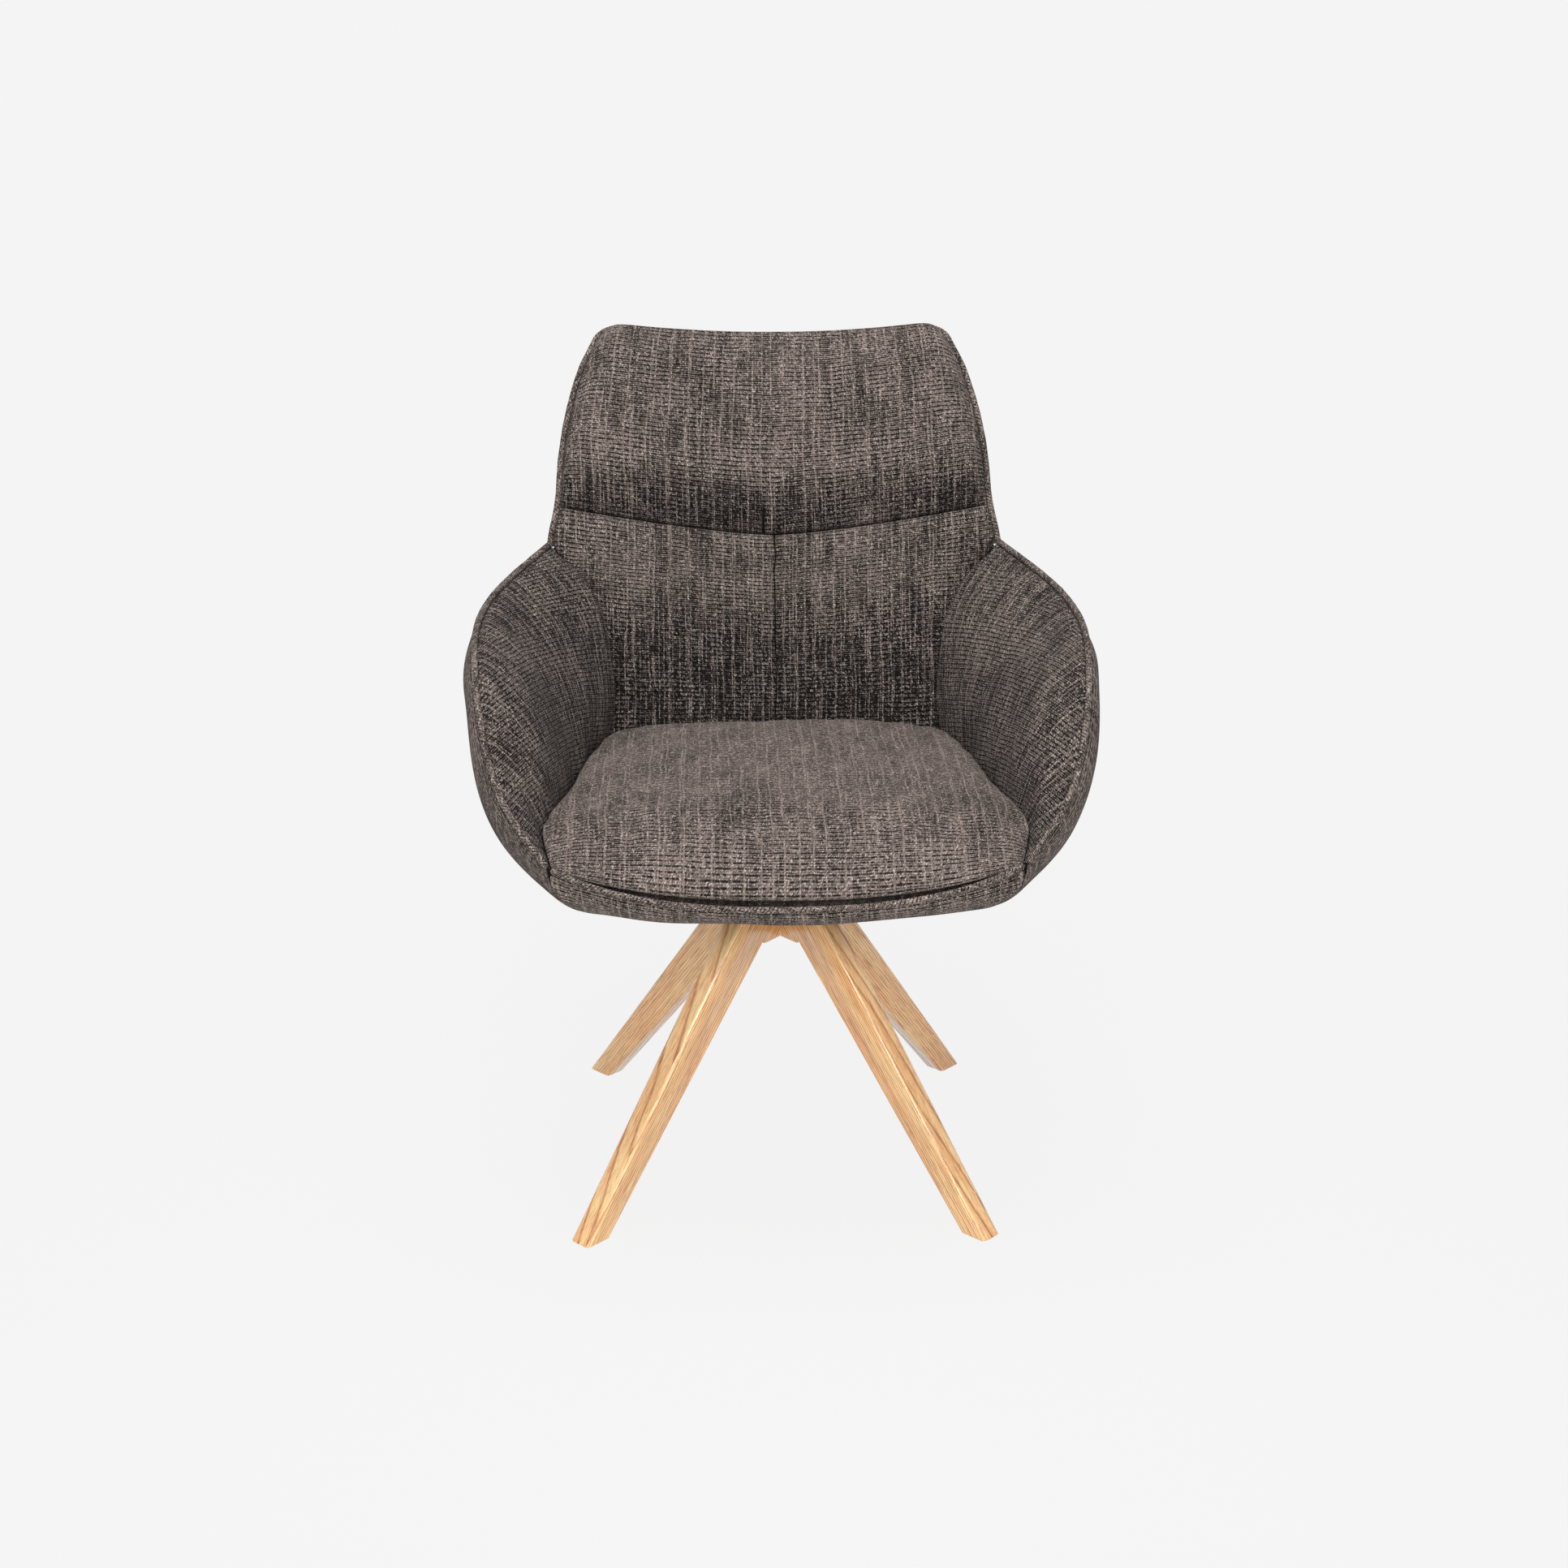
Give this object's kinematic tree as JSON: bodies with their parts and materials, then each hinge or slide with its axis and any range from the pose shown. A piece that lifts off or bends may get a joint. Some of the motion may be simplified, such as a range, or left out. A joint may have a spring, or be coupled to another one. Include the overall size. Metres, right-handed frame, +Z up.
{
  "type": "swivel armchair",
  "caption": "Upholstered bucket armchair with a tall back and closed arms, turning on a ball-bearing swivel above a star base of slanted square oak legs.",
  "frame": {"origin": "on the floor, on the swivel axis, under the middle of the chair", "axes": "+Z up along the swivel axis, -Y towards the front of the seat, +X towards the viewer's right when the chair is seen from the front"},
  "size_m": [0.639, 0.6165, 0.8698],
  "materials": {
    "upholstery": "ribbed grey-brown chenille",
    "piping": "self-fabric piping",
    "oak": "satin lacquer",
    "plywood": "raw plywood",
    "dowel_wood": "raw beech",
    "foam": "soft cut foam",
    "steel": "zinc plated",
    "bearing_steel": "polished",
    "brass_cage": "plain",
    "black_steel": "black powder coat",
    "webbing": "elastic webbing",
    "dust_cloth": "thin non-woven cloth",
    "glide_plastic": "matt"
  },
  "bodies": {
    "base": {"front_left_leg": "oak", "front_right_leg": "oak", "rear_left_leg": "oak", "rear_right_leg": "oak", "floor_glides": "glide_plastic", "hub_dowels": "dowel_wood", "base_plate": "black_steel", "leg_screws": "steel", "lower_swivel_plate": "steel", "swivel_bolts": "steel", "swivel_nuts": "steel", "lower_race": "steel", "bearing_balls": "bearing_steel", "ball_cage": "brass_cage", "centre_pin": "steel", "pin_washer": "steel", "retaining_ring": "steel"},
    "seat": {"upper_race": "steel", "upper_swivel_plate": "steel", "seat_bolts": "steel", "tee_nuts": "steel", "seat_board": "plywood", "frame_bars": "black_steel", "bar_screws": "steel", "back_tube": "black_steel", "left_arm_tube": "black_steel", "right_arm_tube": "black_steel", "back_straps": "webbing", "seat_foam": "foam", "seat_cushion": "upholstery", "lower_left_back_pad": "upholstery", "lower_right_back_pad": "upholstery", "upper_back_pad": "upholstery", "left_arm_pad": "upholstery", "right_arm_pad": "upholstery", "left_side_cover": "upholstery", "right_side_cover": "upholstery", "rear_cover": "upholstery", "front_apron": "upholstery", "back_piping": "piping", "left_arm_piping": "piping", "right_arm_piping": "piping", "front_piping": "piping", "dust_cover": "dust_cloth"}
  },
  "joints": [
    {"name": "swivel", "type": "hinge", "parent": "base", "child": "seat", "pos_m": [0, 0, 0.35], "axis": [0, 0, 1], "continuous": true}
  ]
}
